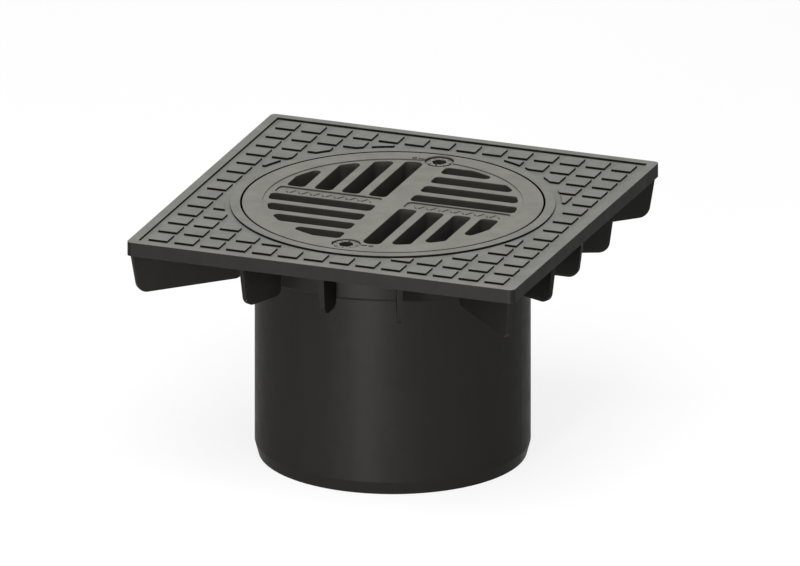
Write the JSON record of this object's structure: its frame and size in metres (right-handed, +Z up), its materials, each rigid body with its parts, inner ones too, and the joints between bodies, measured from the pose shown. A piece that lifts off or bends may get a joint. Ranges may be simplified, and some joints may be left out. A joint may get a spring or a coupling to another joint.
{
  "type": "drain grate",
  "caption": "Round slotted grate with two turning locks in a square treaded plastic frame with radial ribs and a long round spigot.",
  "frame": {"origin": "centre of the spigot's lower end, on the plane it stands on", "axes": "+Z up through the grate, X along the plate's front edge towards the right, Y towards the back; the locks lie on the Y axis"},
  "size_m": [0.3, 0.3, 0.19],
  "materials": {
    "frame_plastic": "dark grey polypropylene, fine moulded grain",
    "grate_plastic": "dark grey reinforced plastic, fine moulded grain",
    "lock_plastic": "dark grey glass-filled nylon",
    "cam_plastic": "black glass-filled nylon",
    "screw_steel": "plain stainless steel",
    "washer_steel": "stamped stainless steel",
    "seal_rubber": "black rubber"
  },
  "bodies": {
    "frame": {"frame_body": "frame_plastic"},
    "cover": {"grate": "grate_plastic"},
    "front_lock_set": {"front_lock": "lock_plastic", "front_cam": "cam_plastic", "front_cam_screw": "screw_steel", "front_cam_washer": "washer_steel", "front_lock_seal": "seal_rubber"},
    "rear_lock_set": {"rear_lock": "lock_plastic", "rear_cam": "cam_plastic", "rear_cam_screw": "screw_steel", "rear_cam_washer": "washer_steel", "rear_lock_seal": "seal_rubber"}
  },
  "joints": [
    {"name": "grate_lift", "type": "slide", "parent": "frame", "child": "cover", "axis": [0, 0, 1], "range_m": [0, 0.08]},
    {"name": "front_lock_turn", "type": "hinge", "parent": "cover", "child": "front_lock_set", "pos_m": [0, -0.0955, 0.18], "axis": [0, 0, -1], "range_deg": [0, 90]},
    {"name": "rear_lock_turn", "type": "hinge", "parent": "cover", "child": "rear_lock_set", "pos_m": [0, 0.0955, 0.18], "axis": [0, 0, -1], "range_deg": [0, 90]}
  ]
}
